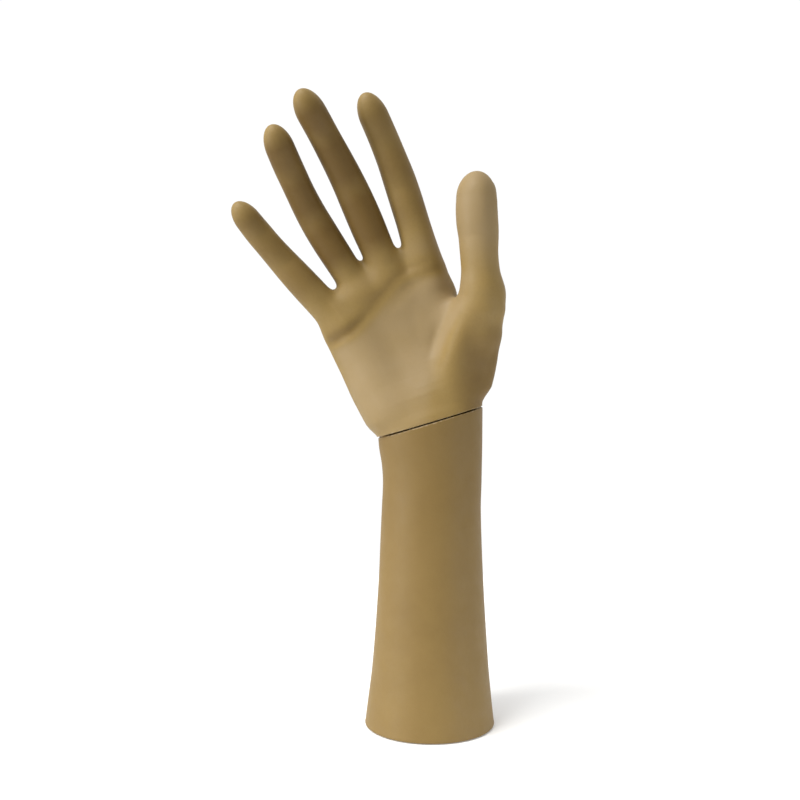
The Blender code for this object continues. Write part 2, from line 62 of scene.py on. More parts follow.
# --------------------------------------------------------- shared dimensions
WRIST = np.array((0.3, 0.0, 167.5))
SLOPE = math.radians(16.6)
UP = np.array((-math.sin(SLOPE), 0.0, math.cos(SLOPE)))
SIDE = np.array((math.cos(SLOPE), 0.0, math.sin(SLOPE)))
SEAM = 0.75
SEAT = (26.0, 17.3, 16.0)  # opening for the board in the hand: half axes and depth
WALL = 3.0

FOREARM = (  # height, centre, half width, half depth
    (0.0, 0.0, 36.0, 36.0),
    (12.0, 0.1, 34.6, 34.4),
    (30.0, 0.4, 32.6, 31.9),
    (48.0, 0.6, 31.2, 29.8),
    (66.0, 0.7, 30.0, 28.0),
    (84.0, 0.8, 29.0, 26.3),
    (102.0, 0.8, 28.3, 24.8),
    (120.0, 1.0, 27.7, 23.4),
    (134.0, 1.5, 27.6, 22.3),
    (144.0, 1.3, 28.0, 22.2),
    (154.0, 0.6, 28.9, 22.7),
    (166.0, 0.3, 29.3, 23.5),
    (182.0, 0.3, 29.4, 24.2),
)


def spline(table, s):
    """Cubic values at s of every column of a table whose first column is the place."""
    t = np.asarray(table, float)
    s = np.atleast_1d(np.asarray(s, float))
    x, y = t[:, 0], t[:, 1:]
    m = np.empty_like(y)
    m[1:-1] = (y[2:] - y[:-2]) / (x[2:] - x[:-2])[:, None]
    m[0], m[-1] = (y[1] - y[0]) / (x[1] - x[0]), (y[-1] - y[-2]) / (x[-1] - x[-2])
    s = np.clip(s, x[0], x[-1])
    i = np.clip(np.searchsorted(x, s, side="right") - 1, 0, len(x) - 2)
    h = x[i + 1] - x[i]
    u = ((s - x[i]) / h)[:, None]
    h = h[:, None]
    return (
        (2 * u**3 - 3 * u**2 + 1) * y[i]
        + (u**3 - 2 * u**2 + u) * h * m[i]
        + (3 * u**2 - 2 * u**3) * y[i + 1]
        + (u**3 - u**2) * h * m[i + 1]
    )


def direction(lean, curl):
    a, c = np.radians(lean), np.radians(curl)
    return np.array((-np.sin(a) * np.cos(c), -np.sin(c), np.cos(a) * np.cos(c)))


def ease(x):
    """Smooth step from 0 to 1."""
    x = np.clip(x, 0, 1)
    return x * x * (3 - 2 * x)


def hump(x, width):
    return np.exp(-0.5 * (x / width) ** 2)


def smin(a, b, k):
    """The smaller of two distances, with the corner between them filled."""
    h = np.maximum(k - np.abs(a - b), 0.0) / k
    return np.minimum(a, b) - h * h * k * 0.25


# ------------------------------------------------------- the hand's own shape
class Tube:
    """A bent tube: centres, half width, palm-side and back half thickness, domed ends."""

    def __init__(
        self, centres, wide, front, back, caps=(6.0, 6.0), power=2.0, start=0.0, relief=None, facing=(0, 1, 0)
    ):
        self.c = np.asarray(centres, float)
        n = len(self.c)
        along = np.empty_like(self.c)
        along[1:-1] = self.c[2:] - self.c[:-2]
        along[0], along[-1] = self.c[1] - self.c[0], self.c[-1] - self.c[-2]
        along /= np.linalg.norm(along, axis=1)[:, None]
        away = np.asarray(facing, float) / np.linalg.norm(facing)
        b = away - along * (along @ away)[:, None]
        self.b = b / np.linalg.norm(b, axis=1)[:, None]
        self.a = along
        self.s = np.cross(self.b, along)
        self.wide, self.front, self.back = (
            np.broadcast_to(np.asarray(q, float), (n,)) for q in (wide, front, back)
        )
        self.caps, self.power, self.relief = caps, power, relief
        steps = np.linalg.norm(np.diff(self.c, axis=0), axis=1)
        self.place = start + np.concatenate([[0], np.cumsum(steps)])
        pad = max(self.wide.max(), self.front.max(), self.back.max()) + 14.0 + max(caps)
        self.low, self.high = self.c.min(0) - pad, self.c.max(0) + pad

    def local(self, p):
        """Nearest place on the spine, and where the point lies about it."""
        best = np.full(len(p), 1e18)
        seg = np.zeros(len(p), int)
        tt = np.zeros(len(p))
        for j in range(len(self.c) - 1):
            d = self.c[j + 1] - self.c[j]
            q = p - self.c[j]
            t = np.clip(q @ d / (d @ d), 0, 1)
            e = q - t[:, None] * d
            e = np.einsum("ij,ij->i", e, e)
            m = e < best
            best[m], seg[m], tt[m] = e[m], j, t[m]
        k = tt[:, None]

        def mix(v):
            return v[seg] * (1 - k) + v[seg + 1] * k if v.ndim == 2 else v[seg] * (1 - tt) + v[seg + 1] * tt

        q = p - mix(self.c)
        u = np.einsum("ij,ij->i", q, mix(self.s))
        v = np.einsum("ij,ij->i", q, mix(self.b))
        w = np.einsum("ij,ij->i", q, mix(self.a))
        first = (seg == 0) & (tt <= 0)
        last = (seg == len(self.c) - 2) & (tt >= 1)
        place = mix(self.place) + np.where(first | last, w, 0.0)
        return u, v, w, first, last, place, mix(self.wide), np.where(v < 0, mix(self.front), mix(self.back))

    def __call__(self, p):
        out = np.full(len(p), 60.0)
        near = np.flatnonzero(((p > self.low) & (p < self.high)).all(1))
        if not len(near):
            return out
        u, v, w, first, last, place, a, b = self.local(p[near])
        c = np.where(first, self.caps[0], np.where(last, self.caps[1], 1e6))
        n = self.power
        x, y, z = np.abs(u) / a, np.abs(v) / b, np.abs(w) / c
        r = (x**n + y**n + z**n) ** (1 / n) + 1e-6
        g = r ** (1 - n) * np.sqrt((x ** (n - 1) / a) ** 2 + (y ** (n - 1) / b) ** 2 + (z ** (n - 1) / c) ** 2)
        d = (r - 1) / (g + 1e-6)
        if self.relief:
            d = d - self.relief(place, u / a, v / b, a)
        out[near] = np.minimum(d, 60.0)
        return out


PALM_LEAN = 20.4
PALM = (  # distance, half width, palm-side and back half thickness, depth offset
    (-16.0, 30.4, 23.3, 23.3, 0.0),
    (0.0, 30.4, 23.4, 23.4, 0.0),
    (7.0, 32.6, 21.8, 21.8, 0.4),
    (14.0, 34.2, 20.6, 20.2, 0.9),
    (28.0, 35.8, 17.0, 17.6, 2.8),
    (42.0, 36.9, 14.4, 15.8, 4.2),
    (56.0, 38.0, 13.0, 14.2, 4.4),
    (68.0, 38.0, 12.2, 12.6, 3.6),
    (76.0, 35.0, 11.2, 11.2, 3.0),
)
THENAR = (  # x, y, z, half width, half thickness
    (10.5, -2.0, 160.0, 14.0, 11.0),
    (15.6, -3.0, 180.0, 15.9, 11.2),
    (19.8, -5.2, 199.0, 17.0, 10.8),
    (23.4, -8.2, 216.0, 15.2, 10.6),
    (25.6, -10.8, 227.0, 12.0, 10.2),
    (28.0, -13.2, 236.0, 8.2, 9.0),
)
THENAR_BACK = (-0.42, 0.91, 0.0)  # the ball of the thumb slopes back towards the thumb's side
HEEL = (
    (-15.0, -1.5, 158.0, 12.0, 13.0),
    (-20.0, -2.0, 172.0, 12.5, 14.0),
    (-26.0, -1.0, 186.0, 13.0, 13.5),
    (-34.0, 1.0, 203.0, 12.5, 12.0),
    (-44.0, 2.5, 219.0, 11.0, 10.2),
)
FINGERS = {  # root; length, lean and curl of each bone; half widths; thickness to width, root and tip, front and back
    "index": dict(
        root=(-1.6, 2.5, 254.3), length=(46.4, 26.2, 28.3), lean=(17.6, 21.8, 26.4), curl=(9.0, 17.0, 25.0),
        girth=(10.5, 9.7, 9.3, 9.3, 9.1, 8.5, 8.2, 8.0, 7.6), flat=(1.02, 0.94, 1.02, 0.80), tip=14.5,
    ),
    "middle": dict(
        root=(-23.2, 3.0, 250.5), length=(51.9, 33.6, 26.2), lean=(23.7, 28.8, 31.8), curl=(14.0, 26.0, 36.0),
        girth=(9.1, 9.2, 9.7, 9.6, 9.1, 8.6, 8.2, 8.1, 7.6), flat=(1.02, 0.94, 1.02, 0.80), tip=14.5,
    ),
    "ring": dict(
        root=(-40.5, 3.0, 243.1), length=(44.5, 28.8, 27.8), lean=(32.5, 26.6, 22.9), curl=(13.0, 25.0, 34.0),
        girth=(8.8, 8.6, 8.8, 8.8, 8.4, 8.0, 8.0, 7.8, 7.3), flat=(1.04, 0.94, 1.04, 0.80), tip=14.0,
    ),
    "little": dict(
        root=(-55.3, 1.0, 228.9), length=(36.9, 21.5, 21.5), lean=(42.9, 41.1, 38.3), curl=(9.0, 17.0, 24.0),
        girth=(8.9, 8.8, 8.7, 8.4, 7.9, 7.5, 7.4, 7.0, 6.3), flat=(1.04, 0.95, 1.04, 0.82), tip=12.5,
    ),
    "thumb": dict(
        root=(29.6, -14.0, 230.3), length=(39.1, 17.1, 17.6), lean=(5.6, 2.2, 1.8), curl=(5.0, 4.0, 2.0),
        girth=(10.2, 10.7, 10.4, 10.3, 10.8, 11.5, 11.4, 10.4, 9.2), flat=(1.0, 0.90, 1.0, 0.78), tip=14.5, below=13.0, taper=0.5,
        facing=(0.62, 0.78, 0.0),
    ),
}
WEBS = (  # the two ends of each web's core, and its half height and half thickness
    ((-8.0, 2.5, 260.9), (-22.0, 3.0, 259.1), 5.0, 6.0),
    ((-30.0, 3.0, 253.9), (-43.0, 3.0, 249.4), 6.0, 6.0),
    ((-46.0, 2.5, 237.6), (-56.5, 1.5, 229.8), 5.5, 6.0),
)
THUMB_WEB = ((0.0, 0.0, 224.0), (27.0, -11.0, 226.0), 9.5, 5.5)


def finger_tube(root, length, lean, curl, girth, flat, tip, below=16.0, taper=0.0, facing=(0, 1, 0), thumb=False):
    joints = [np.asarray(root, float)]
    for size, a, c in zip(length, lean, curl):
        joints.append(joints[-1] + direction(a, c) * size)
    start = joints[0] - direction(lean[0], curl[0]) * below
    total = sum(length)
    bends = np.cumsum(length)
    table = np.column_stack([np.concatenate([[-below, 0.0], bends]), np.array([start, *joints])])
    s = np.linspace(-below, total - tip, 34)
    wide = spline(np.column_stack([np.linspace(0, total, len(girth)), girth]), s)[:, 0]
    wide = wide * (1 - taper * ease(-s / below))
    share = np.clip(s / total, 0, 1)
    front = wide * (flat[0] + (flat[1] - flat[0]) * share)
    back = wide * (flat[2] + (flat[3] - flat[2]) * share)
    folds = (bends[0], bends[1]) if not thumb else (bends[0],)
    edges = (4.0, *folds, total - 1.0)
    nail_l, nail_w = (6.2, 0.62) if not thumb else (7.4, 0.66)
    nail_at = total - tip * 0.60 - (1.0 if not thumb else 1.6)

    def relief(place, u, v, a):
        """Pads and folds on the palm side; knuckles, folds and a nail on the back."""
        front, back = ease((-v - 0.05) / 0.8), ease((v - 0.05) / 0.8)
        h = np.zeros_like(place)
        for low, high in zip(edges[:-1], edges[1:]):
            h += front * 0.6 * hump(place - (low * 0.45 + high * 0.55), (high - low) * 0.27)
        for at in folds:
            h -= front * (0.30 * hump(place - at, 3.6) + 0.07 * hump(place - at, 0.9))
            h += back * 0.8 * hump(place - at, 5.5)
            for off, depth in ((-2.6, 0.16), (-0.1, 0.24), (2.3, 0.16)):
                bow = off * (1 + 0.6 * u * u)
                h -= back * depth * hump(place - at - bow, 0.55) * hump(u, 0.5)
        # nail: a plate with a fold round its root and sides, free at its tip
        x = np.abs(place - nail_at) - (nail_l - 2.4)
        y = np.abs(u * a) - (nail_w * a - 2.4)
        q = np.hypot(np.maximum(x, 0), np.maximum(y, 0)) + np.minimum(np.maximum(x, y), 0) - 2.4
        top = ease((v - 0.2) / 0.3)
        rear = ease((nail_at + nail_l * 0.8 - place) / 4.0)
        h += top * (0.26 * ease((0.3 - q) / 0.7) - 0.40 * hump(q - 0.42, 0.38) * rear)
        h += top * 0.34 * hump(q - 1.7, 0.95) * rear
        return h

    made = Tube(
        spline(table, s), wide, front, back, caps=(6.0, tip), start=-below, relief=relief, facing=facing
    )
    made.nail, made.folds = (nail_at - nail_l - 3.0, nail_at + nail_l + 2.0), folds
    return made, joints


def pad_tube(rows, caps, facing=(0, 1, 0), power=2.0):
    t = np.array(rows)
    d = np.concatenate([[0], np.cumsum(np.linalg.norm(np.diff(t[:, :3], axis=0), axis=1))])
    v = spline(np.column_stack([d, t]), np.linspace(0, d[-1], 18))
    return Tube(v[:, :3], v[:, 3], v[:, 4], v[:, 4], caps=caps, facing=facing, power=power)


def web_tube(start, end, high, thick):
    a, b = np.array(start), np.array(end)
    return Tube([a, (a + b) / 2, b], high, thick, thick, caps=(4.0, 4.0))


fine = np.linspace(PALM[0][0], PALM[-1][0], 26)
rows = spline(PALM, fine)
lean = 16.6 + (PALM_LEAN - 16.6) * np.clip(fine / 30, 0, 1)
palm = Tube(
    [WRIST + direction(l, 0) * f + np.array((0, o, 0)) for l, f, o in zip(lean, fine, rows[:, 3])],
    rows[:, 0],
    rows[:, 1],
    rows[:, 2],
    caps=(4.0, 13.0),
    power=2.15,
)
thenar, heel = pad_tube(THENAR, (4.0, 9.0), THENAR_BACK, 3.0), pad_tube(HEEL, (4.0, 9.0))
fingers, knuckles = {}, {}
for name, shape in FINGERS.items():
    fingers[name], knuckles[name] = finger_tube(**shape, thumb=name == "thumb")
webs = [web_tube(*row) for row in WEBS]
thumb_web = web_tube(*THUMB_WEB)


def along_line(x, z, points):
    """Distance to a line of (x, z) points, positive on its left, and the share of the way along it."""
    pts = np.asarray(points, float)
    cut = np.concatenate([[0], np.cumsum(np.linalg.norm(np.diff(pts, axis=0), axis=1))])
    best, share, left = np.full(len(x), 1e9), np.zeros(len(x)), np.ones(len(x))
    for j in range(len(pts) - 1):
        d = pts[j + 1] - pts[j]
        qx, qz = x - pts[j, 0], z - pts[j, 1]
        t = np.clip((qx * d[0] + qz * d[1]) / (d @ d), 0, 1)
        e = np.hypot(qx - t * d[0], qz - t * d[1])
        m = e < best
        best[m] = e[m]
        left[m] = np.sign(d[0] * qz - d[1] * qx)[m]
        share[m] = (cut[j] + t[m] * (cut[j + 1] - cut[j])) / cut[-1]
    return best * left, share


# Lines on the palm as points (x, z).
DISTAL = ((-55.0, 212.0), (-44.0, 217.6), (-37.5, 223.6), (-28.5, 235.5), (-20.0, 245.5), (-12.0, 252.5), (-2.0, 256.0))
MIDDLE = ((4.0, 253.5), (-11.0, 243.0), (-19.5, 234.5), (-27.0, 226.5), (-33.5, 217.5))
BALL = ((22.0, 244.0), (17.5, 236.0), (10.9, 225.0), (6.5, 217.0), (3.2, 207.5), (0.5, 199.8), (-1.0, 186.0), (-3.0, 160.0))
THUMB_FOLD = ((10.0, 240.0), (1.0, 230.0), (-4.5, 218.0), (-7.0, 206.0), (-7.0, 192.0))


def palm_relief(p):
    x, y, z = p.T
    t = (p - WRIST) @ direction(PALM_LEAN, 0)
    middle = np.interp(t, [0, 28, 42, 56, 80], [0, 3.2, 4.8, 4.8, 3.0])
    front = ease((middle - y - 1.0) / 6.0) * ease((t - 6.0) / 14.0)
    back = ease((y - middle - 1.0) / 6.0) * ease((t - 4.0) / 18.0)
    h = np.zeros(len(p))
    # pads under the fingers, overhanging the fold below them
    d, s = along_line(x, z, DISTAL)
    h += front * 1.25 * hump(d - 9.5, 6.5) * ease((s - 0.02) / 0.22) * ease((0.98 - s) / 0.2)
    h -= front * hump(d, 1.8) * (1.3 - 0.9 * hump(s - 0.5, 0.22)) * (1 - 0.6 * ease((s - 0.6) / 0.25))
    d, s = along_line(x, z, MIDDLE)
    h -= front * 0.5 * hump(d, 3.0) * (1 - ease((s - 0.45) / 0.55))
    d, s = along_line(x, z, THUMB_FOLD)
    h -= front * 0.4 * hump(d, 4.0) * (1 - 0.5 * s)
    d, s = along_line(x, z, BALL)
    edge = ease((s - 0.07) / 0.11) * ease((0.59 - s) / 0.18)
    h += front * edge * (0.45 * hump(d - 1.4, 2.0) - 0.35 * hump(d + 2.8, 2.4))
    h -= front * 1.3 * hump(x + 18.0, 14.0) * hump(z - 216.0, 17.0)
    # back: tendons, knuckles and the hollows between them
    for name, joints in knuckles.items():
        if name == "thumb":
            continue
        root = joints[0] + (joints[0] - joints[1]) / np.linalg.norm(joints[1] - joints[0]) * 7.0
        line = ((WRIST[0] + (root[0] - WRIST[0]) * 0.30 + 2.0, 186.0), (root[0], root[2]))
        d, s = along_line(x, z, line)
        h += back * 0.9 * hump(d, 2.4) * ease(s / 0.35)
        h += back * 2.2 * hump(x - root[0], 5.6) * hump(z - root[2], 6.5)
    return h


def hand_field(p):
    core = palm(p)
    d = smin(core, thenar(p), 6.0)
    d = smin(d, heel(p), 9.0)
    f = fingers["index"](p)
    for name in ("middle", "ring", "little"):
        f = smin(f, fingers[name](p), 3.0)
    w = webs[0](p)
    for web in webs[1:]:
        w = smin(w, web(p), 3.0)
    f = smin(f, w, 4.0)
    d = smin(d, f, 7.0)
    d = smin(d, thumb_web(p), 9.0)
    d = smin(d, fingers["thumb"](p), 10.0)
    d = d - palm_relief(p)
    # the wrist end keeps the plain oval that meets the forearm
    share = ease(((p - WRIST) @ UP - 0.4) / 9.5)
    return core * (1 - share) + d * share


def surface(fn, low, high, step):
    """Surface nets: one vertex in each grid cell that the surface crosses, joined by quads."""
    low, high = np.asarray(low, float), np.asarray(high, float)
    n = np.ceil((high - low) / step).astype(int) + 1
    rough = 4
    nc = (n + rough - 1) // rough + 1
    axes = [low[i] + np.arange(nc[i]) * step * rough for i in range(3)]
    coarse = fn(np.stack(np.meshgrid(*axes, indexing="ij"), -1).reshape(-1, 3)).reshape(nc)
    near = np.abs(coarse) < step * rough * 1.4
    for axis in range(3):
        near = near | np.roll(near, -1, axis) | np.roll(near, 1, axis)
    value, mask = coarse, near
    for axis in range(3):
        value, mask = np.repeat(value, rough, axis), np.repeat(mask, rough, axis)
    size = value.shape
    index = np.flatnonzero(mask.ravel())
    ijk = np.stack(np.unravel_index(index, size), 1)
    flat = value.ravel().copy()
    for k in range(0, len(index), 200000):
        part = slice(k, k + 200000)
        flat[index[part]] = fn(low + ijk[part] * step)
    value = flat.reshape(size)
    inside = value < 0
    count = np.zeros(tuple(np.array(size) - 1), np.int8)
    for dx in (0, 1):
        for dy in (0, 1):
            for dz in (0, 1):
                count += inside[dx : size[0] - 1 + dx, dy : size[1] - 1 + dy, dz : size[2] - 1 + dz]
    where = np.argwhere((count > 0) & (count < 8))
    ids = -np.ones(count.shape, int)
    ids[tuple(where.T)] = np.arange(len(where))
    total, hits = np.zeros((len(where), 3)), np.zeros(len(where))
    corners = [(i & 1, i >> 1 & 1, i >> 2 & 1) for i in range(8)]
    for a in range(8):
        for b in range(a + 1, 8):
            if sum(abs(x - y) for x, y in zip(corners[a], corners[b])) != 1:
                continue
            va, vb = value[tuple((where + corners[a]).T)], value[tuple((where + corners[b]).T)]
            m = (va < 0) != (vb < 0)
            t = va[m] / (va[m] - vb[m])
            total[m] += (where[m] + corners[a]) + t[:, None] * (np.array(corners[b]) - corners[a])
            hits[m] += 1
    verts = low + total / hits[:, None] * step
    quads = []
    for axis in range(3):
        o1, o2 = (axis + 1) % 3, (axis + 2) % 3
        a, b = inside.take(range(0, size[axis] - 1), axis), inside.take(range(1, size[axis]), axis)
        s1, s2 = np.eye(3, dtype=int)[o1], np.eye(3, dtype=int)[o2]
        for crossing, flip in ((a & ~b, False), (~a & b, True)):
            e = np.argwhere(crossing)
            e = e[(e[:, o1] > 0) & (e[:, o2] > 0) & (e[:, o1] < size[o1] - 1) & (e[:, o2] < size[o2] - 1)]
            q = [ids[tuple((e - s1 - s2).T)], ids[tuple((e - s2).T)], ids[tuple(e.T)], ids[tuple((e - s1).T)]]
            quads.append(np.stack(q[::-1] if flip else q, 1))
    return verts, np.concatenate(quads)


def pull_on(fn, p, times=1, limit=0.6):
    """Moves points onto the surface."""
    e = 0.06
    for _ in range(times):
        f = fn(p)
        g = np.stack([(fn(p + e * np.eye(3)[k]) - fn(p - e * np.eye(3)[k])) / (2 * e) for k in range(3)], 1)
        step = (f / np.maximum((g * g).sum(1), 0.05))[:, None] * g
        size = np.linalg.norm(step, axis=1)[:, None]
        p = p - step * np.minimum(1, limit / np.maximum(size, 1e-9))
    return p


def evened(p, edges, times):
    """Each point moves half way to the middle of its neighbours."""
    for _ in range(times):
        total, hits = np.zeros_like(p), np.zeros(len(p))
        for a, b in ((0, 1), (1, 0)):
            for k in range(3):
                total[:, k] += np.bincount(edges[:, a], p[edges[:, b], k], len(p))
            hits += np.bincount(edges[:, a], minlength=len(p))
        p = p * 0.5 + total / hits[:, None] * 0.5
    return p


def add_object(name, verts, faces, body, *nodes):
    mesh = bpy.data.meshes.new(name)
    mesh.from_pydata([tuple(v) for v in np.asarray(verts) * MM], [], faces)
    mesh.update()
    mesh.shade_smooth()
    obj = bpy.data.objects.new(name, mesh)
    scene.collection.objects.link(obj)
    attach(obj, body)
    if nodes:
        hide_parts(*nodes)
    return obj


def refine(bm, level):
    """Halves the mesh at the nails, and the first time at the folds of the fingers too."""
    faces = list(bm.faces)
    mid = np.array([f.calc_center_median() for f in faces])
    chosen = np.zeros(len(faces), bool)
    for tube in fingers.values():
        near = np.flatnonzero(((mid > tube.low) & (mid < tube.high)).all(1))
        u, v, w, first, last, place, a, b = tube.local(mid[near])
        own = (np.abs(tube(mid[near])) < 1.5) & ~first
        want = (place > tube.nail[0]) & (place < tube.nail[1]) & (v > 0.1 * b)
        if level == 0:
            for at in tube.folds:
                want |= (np.abs(place - at) < 5.5) & (v > 0.2 * b)
        chosen[near[own & want]] = True
    edges = {e for f, c in zip(faces, chosen) if c for e in f.edges}
    old = set(bm.verts)
    bmesh.ops.subdivide_edges(bm, edges=list(edges), cuts=1, use_grid_fill=True)
    new = [v for v in bm.verts if v not in old]
    for v, co in zip(new, pull_on(hand_field, np.array([v.co for v in new]), 3)):
        v.co = co


def paint_light_and_shade(p):
    """Painted light and shade on the hand: 0.5 is even, less is painted shade, more is painted light."""
    painted_shading = np.zeros(len(p))
    # painted shade on the fingers: darkest on the middle and ring fingers and on their palm side, eased off at the
    # folds, root and tip
    for name, tube in fingers.items():
        if name == "thumb":
            continue
        depth = {"index": 0.56, "middle": 1.1, "ring": 1.1, "little": 0.6}[name]
        near = np.flatnonzero((((p > tube.low) & (p < tube.high)).all(1)))
        u, v, w, first, last, place, a, b = tube.local(p[near])
        own = ease((3.0 - np.abs(tube(p[near]))) / 2.0)
        total = tube.place[-1] + tube.caps[1]
        shaft = ease((place - 6.0) / 20.0) * ease((total - 1.0 - place) / 13.0)
        for at in tube.folds:
            shaft = shaft * (1 - 0.35 * hump(place - at, 5.0))
        under = ease((0.35 - v / b) / 0.9)
        painted_shading[near] -= depth * own * shaft * (0.25 + 0.75 * under)
    x, y, z = p.T
    t = (p - WRIST) @ direction(PALM_LEAN, 0)
    front = ease((2.0 - y) / 8.0) * (0.5 + 0.5 * ease((t - 2.0) / 24.0))
    d, s = along_line(x, z, DISTAL)
    ball, down = along_line(x, z, BALL)
    second, far = along_line(x, z, MIDDLE)
    # painted light on the palm, between the fold under the fingers and the ball of the thumb
    painted_light = ease((-1.0 - d) / 7.0) * ease((5.5 - ball) / 9.0) * ease((26.0 - x) / 10.0) * ease((254.0 - z) / 10.0)
    painted_shading += front * painted_light * 0.8
    # painted highlight along the edge of the ball of the thumb
    painted_shading += front * hump(ball - 1.4, 1.8) * ease((down - 0.06) / 0.11) * ease((0.57 - down) / 0.18) * 0.55
    # painted shade in the palm's second fold
    painted_shading -= front * hump(second, 2.8) * (1 - 0.7 * ease((far - 0.45) / 0.5)) * 0.3
    # painted shade on the thumb's side of the palm, towards the wrist
    painted_shading -= ease((2.0 - y) / 8.0) * ease((x - 8.0) / 18.0) * ease((230.0 - z) / 26.0) * 0.7
    # painted light low on the index finger
    painted_shading += front * hump(x + 6.0, 9.0) * hump(z - 271.0, 10.0) * 0.5
    # painted shade along the fold under the fingers, heaviest at its little-finger end
    painted_shading -= front * hump(d - 1.0, 3.0) * (0.25 + 0.35 * ease((0.34 - s) / 0.2))
    # painted light on the thumb, strongest on its palm side
    tube = fingers["thumb"]
    near = np.flatnonzero((((p > tube.low) & (p < tube.high)).all(1)))
    u, v, w, first, last, place, a, b = tube.local(p[near])
    own = ease((9.0 - np.abs(tube(p[near]))) / 7.0) * ease((place - 13.0) / 30.0)
    painted_shading[near] += own * (0.2 + 0.65 * ease((0.5 - v / b) / 1.1))
    return np.clip(0.5 + 0.5 * painted_shading, 0, 1)


def hand_mesh():
    step = FINE
    p, quads = surface(hand_field, (-118, -46, 150), (52, 36, 356), step)
    edges = np.unique(np.sort(np.concatenate([quads[:, [i, (i + 1) % 4]] for i in range(4)]), 1), axis=0)
    for _ in range(2):
        p = evened(p, edges, 2)
        p = pull_on(hand_field, p)
    p = pull_on(hand_field, p)
    bm = bmesh.new()
    made = [bm.verts.new(v) for v in p]
    for q in quads:
        bm.faces.new([made[i] for i in q])
    refine(bm, 0)
    refine(bm, 1)
    # cut flat above the wrist, with a small rounded lip and the seat for the board
    trim = SEAM + 0.6
    bmesh.ops.bisect_plane(
        bm,
        geom=[*bm.verts, *bm.edges, *bm.faces],
        dist=1e-4,
        plane_co=Vector(WRIST + UP * trim),
        plane_no=Vector(UP),
        clear_inner=True,
    )
    lost = [v for v in bm.verts if not v.link_faces]
    bmesh.ops.delete(bm, geom=lost, context="VERTS")
    rim = [e for e in bm.edges if e.is_boundary]
    follow = {}
    for e in rim:
        for v in e.verts:
            follow.setdefault(v, []).append(e.other_vert(v))
    first = rim[0].verts[0]
    loop, before = [first], None
    while True:
        here = loop[-1]
        step_to = [v for v in follow[here] if v is not before]
        nxt = step_to[0]
        if nxt is first:
            break
        before = here
        loop.append(nxt)
    flat = np.array([((np.array(v.co) - WRIST) @ SIDE, v.co.y) for v in loop])
    if np.sum(flat[:, 0] * np.roll(flat[:, 1], -1) - np.roll(flat[:, 0], -1) * flat[:, 1]) < 0:
        loop, flat = loop[::-1], flat[::-1]
    reach = np.hypot(*flat.T)[:, None]
    unit = flat / reach
    angle = np.arctan2(flat[:, 1] / SEAT[1], flat[:, 0] / SEAT[0])
    seat = np.column_stack([SEAT[0] * np.cos(angle), SEAT[1] * np.sin(angle)])
    rings = [(flat - unit * inset, height) for inset, height in ((0.06, 0.92), (0.22, 0.72), (0.5, SEAM))]
    rings += [(seat * 1.02, SEAM), (seat, SEAM + 0.5), (seat, SEAT[2])]
    last = loop
    for ring, height in rings:
        row = [bm.verts.new(WRIST + SIDE * x + np.array((0, y, 0)) + UP * height) for x, y in ring]
        for i in range(len(row)):
            j = (i + 1) % len(row)
            bm.faces.new((last[j], last[i], row[i], row[j]))
        last = row
    top = bm.verts.new(WRIST + UP * SEAT[2])
    for i in range(len(last)):
        bm.faces.new((last[(i + 1) % len(last)], last[i], top))
    bmesh.ops.recalc_face_normals(bm, faces=bm.faces)
    mesh = bpy.data.meshes.new("hand_skin")
    bm.to_mesh(mesh)
    bm.free()
    # the painted light and shade, kept on each point for the paint material
    painted_shading = mesh.attributes.new("painted_shading", "FLOAT", "POINT")
    painted_shading.data.foreach_set("value", paint_light_and_shade(np.array([v.co for v in mesh.vertices])).astype(np.float32))
    mesh.transform(Matrix.Scale(MM, 4))
    mesh.shade_smooth()
    mesh.set_sharp_from_angle(angle=math.radians(60))
    obj = bpy.data.objects.new("hand_skin", mesh)
    scene.collection.objects.link(obj)
    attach(obj, "hand")
    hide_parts("hand_shell")
    return obj


hand = hand_mesh()


# ----------------------------------------------------------- forearm's skin
def forearm_mesh(steps=144):
    angle = np.linspace(0, 2 * math.pi, steps, endpoint=False)

    def ring(share, below, inset):
        """Ring at a share of the way up to a plane that lies below the wrist cut."""
        z = np.full(steps, share * WRIST[2])
        for _ in range(14):
            v = spline(FOREARM, z)
            x = v[:, 0] + (v[:, 1] - inset) * np.cos(angle)
            y = (v[:, 2] - inset) * np.sin(angle)
            z = share * (WRIST[2] + (x - WRIST[0]) * math.tan(SLOPE) - below / math.cos(SLOPE))
        return np.column_stack([x, y, z])

    rings = []
    for lift, inset in ((0.0, 0.9), (0.07, 0.45), (0.3, 0.14), (0.75, 0.0)):
        rings.append(ring(0.0, 0.0, inset) + np.array((0, 0, lift)))
    rings += [ring(s, 0.0, 0.0) for s in np.linspace(0.012, 0.988, 84)]
    # a low lip inside the rim at both ends of the oval, so that no light shows through the seam
    lip = -(SEAM - 0.13) * ease((np.abs(np.cos(angle)) - 0.8) / 0.12)
    rings += [ring(1.0, b, i) for b, i in ((0.6, 0.0), (0.3, 0.06), (0.1, 0.22), (0.0, 0.5), (0.0, 0.65))]
    rings += [ring(1.0, b, i) for b, i in ((lip, 0.75), (lip, WALL - 0.3), (0.3, WALL))]
    rings += [ring(s, 0.0, WALL) for s in np.linspace(0.97, 0.004, 40)]
    rings.append(ring(0.0, 0.0, WALL - 0.3))
    faces = []
    n = len(rings)
    for k in range(n):
        m = (k + 1) % n
        for i in range(steps):
            j = (i + 1) % steps
            faces.append((k * steps + i, k * steps + j, m * steps + j, m * steps + i))
    obj = add_object("forearm_skin", np.concatenate(rings), faces, "forearm", "forearm_shell")
    obj.data.set_sharp_from_angle(angle=math.radians(60))
    return obj


forearm = forearm_mesh()


